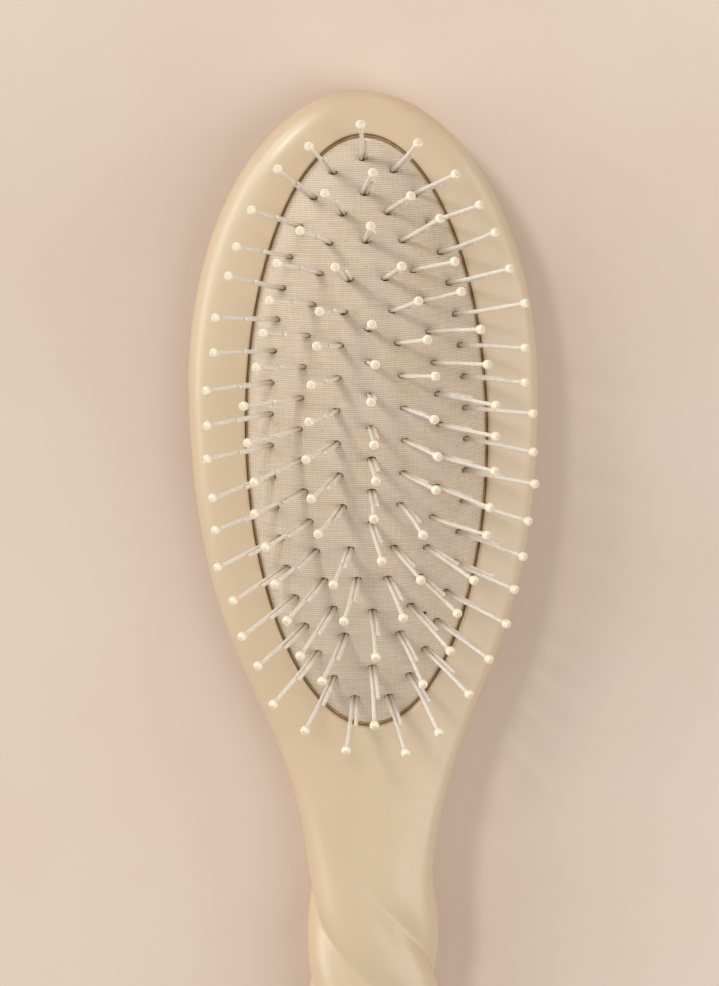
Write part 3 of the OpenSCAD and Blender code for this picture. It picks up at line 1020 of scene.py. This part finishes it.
def fabric_material():
    m = Nodes("woven_facing")
    split = m.add("ShaderNodeSeparateXYZ")
    m.link(m.stretched((math.pi / WEAVE_PITCH,) * 3), split.inputs[0])
    across_thread, along_thread = (m.math("SINE", split.outputs[i]) for i in (0, 1))
    weft = m.math("ABSOLUTE", along_thread)
    warp = m.math("ABSOLUTE", across_thread)
    over = m.spread(m.math("MULTIPLY", across_thread, along_thread), -0.25, 0.25)
    height = m.sum_of(weft, WEFT_HEIGHT, warp, WARP_HEIGHT)
    height = m.math("ADD", height, m.math("MULTIPLY", over, OVER_HEIGHT))
    weft_tone = m.noise(WEAVE_PITCH, detail=1, stretch=(THREAD_RUN, 1, THREAD_RUN))
    warp_tone = m.noise(WEAVE_PITCH, detail=1, stretch=(1, THREAD_RUN, THREAD_RUN))
    tone = m.spread(m.sum_of(weft_tone, WEFT_TONE, warp_tone, WARP_TONE), 0.36, 0.64)
    cloud = m.spread(m.noise(CLOUD_SIZE, detail=3), *SOFT)
    thread = m.blend(tone, THREAD, THREAD_PALE)
    thread = m.blend(m.math("MULTIPLY", cloud, 0.5), thread, CLOTH_CLOUD)
    # Painted shade: the weave's valleys are darkened by their depth
    valley = m.spread(height, 0.12, 0.9, to_low=0.75, to_high=0.0)
    colour = m.blend(valley, thread, CLOTH_VALLEY_SHADE)
    slub = m.spread(m.noise(SLUB_SIZE, detail=0), 0.79, 0.85, to_high=0.45)
    colour = m.blend(slub, colour, CLOTH_SLUB)
    return m.finish(
        Base_Color=colour,
        Roughness=0.82,
        Normal=m.bump(height, WEAVE_DEPTH, strength=0.7),
        Sheen_Weight=0.2,
        Sheen_Roughness=0.45,
        Specular_IOR_Level=0.3,
    )


def rubber_material():
    m = Nodes("olive_rubber")
    tone = m.spread(m.noise(RUBBER_PATCH, detail=4), *SOFT)
    return m.finish(
        Base_Color=m.blend(tone, RUBBER_DARK, RUBBER_PALE),
        Roughness=m.spread(m.noise(RUBBER_GLOSS_PATCH), *SOFT, to_low=0.6, to_high=0.8),
        Normal=m.bump(m.noise(RUBBER_GRAIN), RUBBER_GRAIN_DEPTH, strength=0.5),
    )


def nylon_material():
    m = Nodes("milky_nylon")
    drawn = m.noise(NYLON_DRAW, detail=3, stretch=(1, 1, 6))
    colour = m.blend(m.spread(drawn, *SOFT), NYLON_MILK, NYLON_MILK_PALE)
    # Painted shade at the legs' roots, where the mark is high
    colour = m.blend(m.math("MULTIPLY", m.mark(), 0.85), colour, NYLON_ROOT_SHADE)
    return m.finish(
        Base_Color=colour,
        Roughness=m.spread(drawn, *SOFT, to_low=0.3, to_high=0.42),
        Normal=m.bump(drawn, NYLON_DRAW_DEPTH, strength=0.4),
        Transmission_Weight=0.12,
        IOR=1.53,
        Subsurface_Weight=0.6,
        Subsurface_Radius=Vector((0.8, 0.7, 0.6)) * MM,
        Subsurface_Scale=1.0,
    )


def ball_material():
    m = Nodes("cream_resin")
    tone = m.spread(m.noise(BALL_PATCH, detail=3), *SOFT)
    colour = m.blend(tone, BALL_CREAM, BALL_CREAM_PALE)
    colour = m.blend(m.mark(), colour, BALL_DISC)
    return m.finish(
        Base_Color=colour,
        Roughness=m.spread(tone, 0, 1, to_low=0.26, to_high=0.36),
        Normal=m.bump(m.noise(BALL_GRAIN), BALL_GRAIN_DEPTH, strength=0.4),
        Subsurface_Weight=0.2,
        Subsurface_Radius=Vector((0.9, 0.7, 0.4)) * MM,
        Subsurface_Scale=1.0,
    )


def steel_material():
    m = Nodes("drawn_steel")
    streak = m.noise(STEEL_STREAK, detail=2, stretch=(20, 1, 1))
    return m.finish(
        Base_Color=m.blend(streak, STEEL_DARK, STEEL_PALE),
        Metallic=1.0,
        Roughness=m.spread(streak, *SOFT, to_low=0.28, to_high=0.42),
        Normal=m.bump(streak, STEEL_STREAK_DEPTH, strength=0.5),
    )


def floor_material():
    m = Nodes("pale_floor")
    tone = m.spread(m.noise(FLOOR_CLOUD, detail=3), *SOFT)
    return m.finish(
        Base_Color=m.blend(tone, FLOOR_DARK, FLOOR_PALE),
        Roughness=0.9,
        Specular_IOR_Level=0.2,
        Normal=m.bump(m.noise(FLOOR_GRAIN, detail=4), FLOOR_GRAIN_DEPTH, strength=0.35),
    )


def dress(obj, material):
    obj.data.materials.clear()
    obj.data.materials.append(material)


# Stage


def make_camera():
    camera = bpy.data.objects.new("photo_camera", bpy.data.cameras.new("photo_camera"))
    bpy.context.scene.collection.objects.link(camera)
    to_camera = Matrix.Rotation(CAMERA_ROLL, 3, "Z")
    to_camera = to_camera @ Matrix.Rotation(CAMERA_PITCH, 3, "X")
    to_camera = to_camera @ Matrix.Rotation(CAMERA_YAW, 3, "Y")
    turn = to_camera.transposed()
    place = CAMERA_TARGET + turn @ Vector((0, 0, CAMERA_DISTANCE))
    camera.matrix_world = Matrix.Translation(place) @ turn.to_4x4()
    focal_pixels = CAMERA_PIXELS_PER_MM * CAMERA_DISTANCE / MM
    camera.data.sensor_width = SENSOR_MM
    camera.data.lens = focal_pixels * SENSOR_MM / max(PHOTO_W, PHOTO_H)
    camera.data.clip_start = CLIP_START
    camera.data.clip_end = CLIP_END
    bpy.context.scene.camera = camera


def area_light(name, direction, size, level, colour):
    """A rectangular softbox far off in a direction. size is in metres for each metre of distance,
    and level is the light that a white surface facing the lamp would show."""
    light = bpy.data.lights.new(name, "AREA")
    light.shape = "RECTANGLE"
    light.size, light.size_y = (side * LIGHT_DISTANCE for side in size)
    light.energy = level * (math.pi * LIGHT_DISTANCE) ** 2
    light.color = colour
    obj = bpy.data.objects.new(name, light)
    bpy.context.scene.collection.objects.link(obj)
    obj.location = LIGHT_AIM + Vector(direction).normalized() * LIGHT_DISTANCE
    obj.rotation_euler = (LIGHT_AIM - obj.location).to_track_quat("-Z", "Y").to_euler()


def make_world():
    """Soft daylight, and a paler wall where the camera or a reflection sees past the floor."""
    world = bpy.data.worlds.new("soft_daylight")
    bpy.context.scene.world = world
    world.use_nodes = True
    tree = world.node_tree
    sky = tree.nodes["Background"]
    sky.inputs["Color"].default_value = WORLD_COLOUR
    light_path = tree.nodes.new("ShaderNodeLightPath")
    seen = light_path.outputs["Is Camera Ray"]
    for name in ("Is Glossy Ray", "Is Transmission Ray"):
        either = tree.nodes.new("ShaderNodeMath")
        either.operation = "MAXIMUM"
        tree.links.new(seen, either.inputs[0])
        tree.links.new(light_path.outputs[name], either.inputs[1])
        seen = either.outputs[0]
    strength = tree.nodes.new("ShaderNodeMapRange")
    strength.inputs["To Min"].default_value = WORLD_LEVEL
    strength.inputs["To Max"].default_value = WALL_LEVEL
    tree.links.new(seen, strength.inputs["Value"])
    tree.links.new(strength.outputs["Result"], sky.inputs["Strength"])


def make_stage():
    for name, lamp in LAMPS.items():
        area_light(name, *lamp)
    make_world()
    corners = [(x, y, 0) for x, y in ((-1, -1), (1, -1), (1, 1), (-1, 1))]
    floor = make_object(
        "floor", [Vector(c) * FLOOR_HALF for c in corners], [(0, 1, 2, 3)], smooth=False
    )
    dress(floor, floor_material())
    bpy.context.scene.view_settings.view_transform = "Standard"


# The object

GROUPS = {
    "centre": "centre_row",
    "third_left": "third_ring",
    "third_right": "third_ring",
    "second_left": "second_ring",
    "second_right": "second_ring",
    "outer_left": "outer_ring",
    "outer_right": "outer_ring",
}
# The side pins that the vent lies between, counted from the top in their groups
VENT_OUTER_PIN = 15
VENT_SECOND_PIN = 13


def vent_opening(groups):
    """The vent, halfway between a side pin of the outer ring and one of the second ring."""
    first, second = (
        sorted(groups[name], key=lambda pin: -pin["foot"].y)[index]
        for name, index in (("outer_right", VENT_OUTER_PIN), ("second_right", VENT_SECOND_PIN))
    )
    return {
        "at": (first["at"] + second["at"]) / 2,
        "right": Vector((1, 0, 0)),
        "half_w": VENT_D / 2,
        "half_l": VENT_D / 2,
        "shift": Vector(),
    }


def make_cushion(groups):
    pins = [pin for group in groups.values() for pin in group]
    vent = vent_opening(groups)
    cloth_openings = [pin_opening(pin) for pin in pins] + [vent]
    rubber_openings = [pin_opening(pin, *RUBBER_HOLE_SHARES) for pin in pins] + [vent]
    facing = make_dome_shell(
        "woven_facing",
        dome_layout(cloth_openings, CLOTH_GRID, CLOTH_SEED, CLOTH_IN_W, CLOTH_IN_L),
        cloth_openings,
        0.0,
        FABRIC_T * CLOTH_SHARE,
    )
    dome = make_dome_shell(
        "rubber_dome",
        dome_layout(rubber_openings, RUBBER_GRID, RUBBER_SEED, 0.0, 0.0),
        rubber_openings,
        FABRIC_T * RUBBER_INSET_SHARE,
        RUBBER_T * RUBBER_SHARE,
    )
    edge = make_membrane_edge()
    rubber = rubber_material()
    dress(facing, fabric_material())
    dress(dome, rubber)
    dress(edge, rubber)
    for piece, node, slot in (
        (facing, "cushion_fabric", "facing"),
        (dome, "cushion_membrane", "rubber"),
    ):
        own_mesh(piece)
        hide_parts(node)
        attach(piece, "body")
    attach(edge, "body")


def make_pins(groups, rng):
    nylon, resin = nylon_material(), ball_material()
    for group, body in GROUPS.items():
        legs, tips = make_pin_group(group, groups[group], rng)
        for piece, node, slot, material in (
            (legs, group + "_filaments", "nylon", nylon),
            (tips, group + "_balls", "ball", resin),
        ):
            dress(piece, material)
            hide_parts(node)
            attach(piece, body)


def main():
    make_camera()
    make_stage()
    body = make_body()
    dress(body, body_material())
    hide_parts("brush_body")
    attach(body, "body")
    rng = random.Random(PIN_SEED)
    groups = {group: read_pins(group, rng) for group in GROUPS}
    make_cushion(groups)
    make_pins(groups, rng)
    steel = steel_material()
    for group in GROUPS:
        dress(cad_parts[group + "_anchors"], steel)


main()
